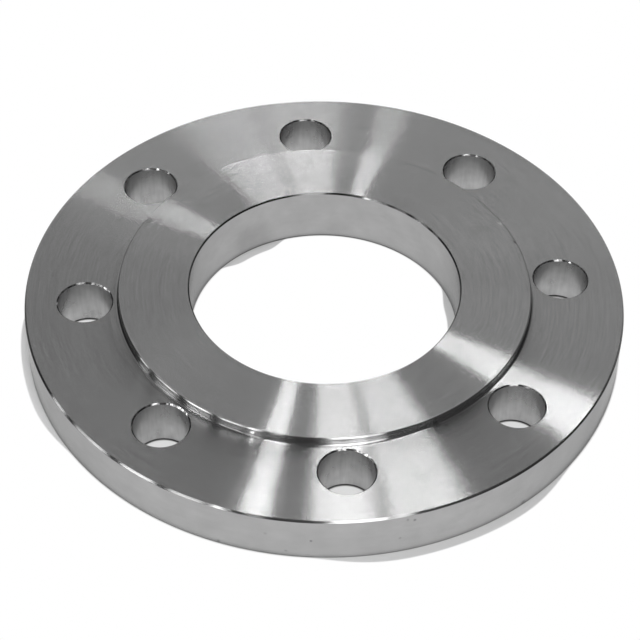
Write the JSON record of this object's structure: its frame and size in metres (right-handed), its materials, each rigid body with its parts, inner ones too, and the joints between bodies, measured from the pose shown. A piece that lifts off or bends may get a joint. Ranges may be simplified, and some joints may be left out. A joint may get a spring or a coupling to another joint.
{
  "type": "pipe flange",
  "caption": "Flat steel ring flange with a raised sealing face, a plain bore for the pipe and a circle of bolt holes.",
  "frame": {"origin": "centre of the flat back face, on the pipe's axis", "axes": "+Z along the pipe's axis, towards the raised face; the bolt holes straddle the X and Y axes"},
  "size_m": [0.2, 0.2, 0.02],
  "materials": {
    "turned_steel": "bright turned steel with fine concentric tool marks, unpainted, neutral grey, small nicks on the rim"
  },
  "bodies": {
    "root": {"flange": "turned_steel"}
  },
  "joints": []
}
